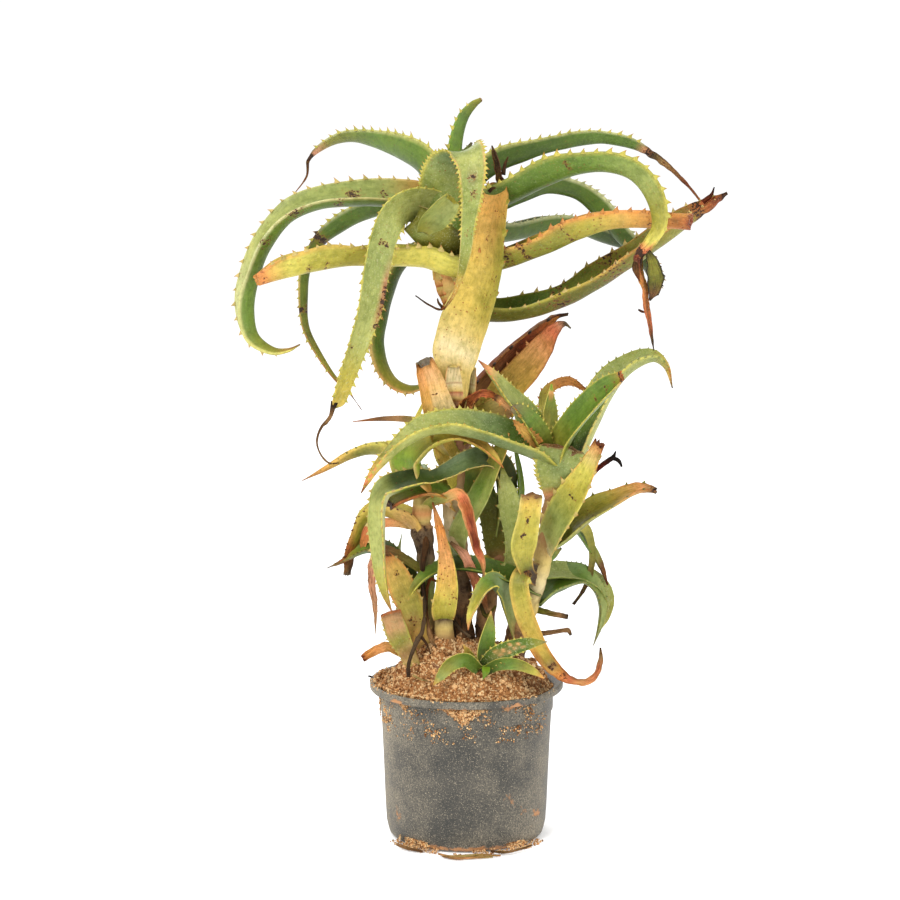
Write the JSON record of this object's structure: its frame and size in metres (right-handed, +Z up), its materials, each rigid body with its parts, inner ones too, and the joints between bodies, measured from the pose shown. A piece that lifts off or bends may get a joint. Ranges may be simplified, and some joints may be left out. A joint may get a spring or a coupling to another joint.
{
  "type": "potted candelabra aloe",
  "caption": "Candelabra aloe with toothed, arching leaves on bare stems, rooted in granular soil in a round nursery pot with a rolled rim.",
  "frame": {"origin": "centre of the pot's flat base, on the surface it stands on", "axes": "+Z up along the plant, +X to the right of the plant's front, +Y towards its back"},
  "size_m": [0.4819, 0.2704, 0.7468],
  "materials": {
    "pot": "matte",
    "soil": "matte",
    "stem": "matte",
    "green_leaf": "satin",
    "grey_green_leaf": "satin",
    "dark_green_leaf": "satin",
    "olive_leaf": "satin",
    "yellow_leaf": "satin",
    "orange_leaf": "satin",
    "dry_leaf": "matte"
  },
  "bodies": {
    "root": {"pot": "pot", "soil": "soil", "main_stem": "stem", "left_stem": "stem", "right_stem": "stem", "middle_stem": "stem", "front_stem": "stem", "dried_stalk": "dry_leaf", "crown_heart_leaf": "green_leaf", "crown_leaf_folded": "grey_green_leaf", "crown_leaf_curled": "grey_green_leaf", "crown_leaf_front_left": "grey_green_leaf", "crown_leaf_left_sweeping": "green_leaf", "crown_leaf_right_arching": "olive_leaf", "crown_leaf_left_high": "green_leaf", "crown_leaf_right_high": "green_leaf", "crown_leaf_back_upper": "green_leaf", "crown_leaf_right_back": "dark_green_leaf", "crown_leaf_left_back": "green_leaf", "crown_leaf_right_hidden": "dark_green_leaf", "crown_leaf_right_yellow": "olive_leaf", "crown_leaf_left_level": "olive_leaf", "crown_leaf_left_low": "dark_green_leaf", "crown_leaf_right_low": "olive_leaf", "crown_old_leaf": "yellow_leaf", "collar_leaf_cut_left": "orange_leaf", "collar_leaf_orange": "orange_leaf", "collar_leaf_brown": "dry_leaf", "right_heart_leaf": "green_leaf", "right_leaf_cup": "grey_green_leaf", "right_leaf_upper_left": "grey_green_leaf", "right_leaf_arching": "grey_green_leaf", "right_leaf_blunt": "green_leaf", "right_leaf_outer": "grey_green_leaf", "right_leaf_yellow_down": "yellow_leaf", "right_leaf_yellow_up": "yellow_leaf", "right_leaf_broad": "yellow_leaf", "right_leaf_olive": "olive_leaf", "low_leaf_right_wide": "dark_green_leaf", "low_leaf_right_narrow": "grey_green_leaf", "low_leaf_right_thin": "olive_leaf", "middle_leaf_slanting": "yellow_leaf", "middle_leaf_pale": "grey_green_leaf", "middle_leaf_olive": "olive_leaf", "middle_leaf_drooping": "green_leaf", "middle_leaf_crossing": "dark_green_leaf", "left_leaf_looping": "green_leaf", "left_leaf_hanging": "dark_green_leaf", "left_leaf_ridged": "olive_leaf", "left_leaf_long": "green_leaf", "left_leaf_orange_tip": "orange_leaf", "left_leaf_low": "orange_leaf", "left_leaf_dark": "dark_green_leaf", "front_leaf_tall": "yellow_leaf", "sucker_leaf_cut": "olive_leaf", "sucker_leaf_speckled": "yellow_leaf", "pup_leaf_upright": "green_leaf", "pup_leaf_right": "grey_green_leaf", "pup_leaf_left": "green_leaf", "pup_leaf_right_low": "green_leaf"}
  },
  "joints": []
}
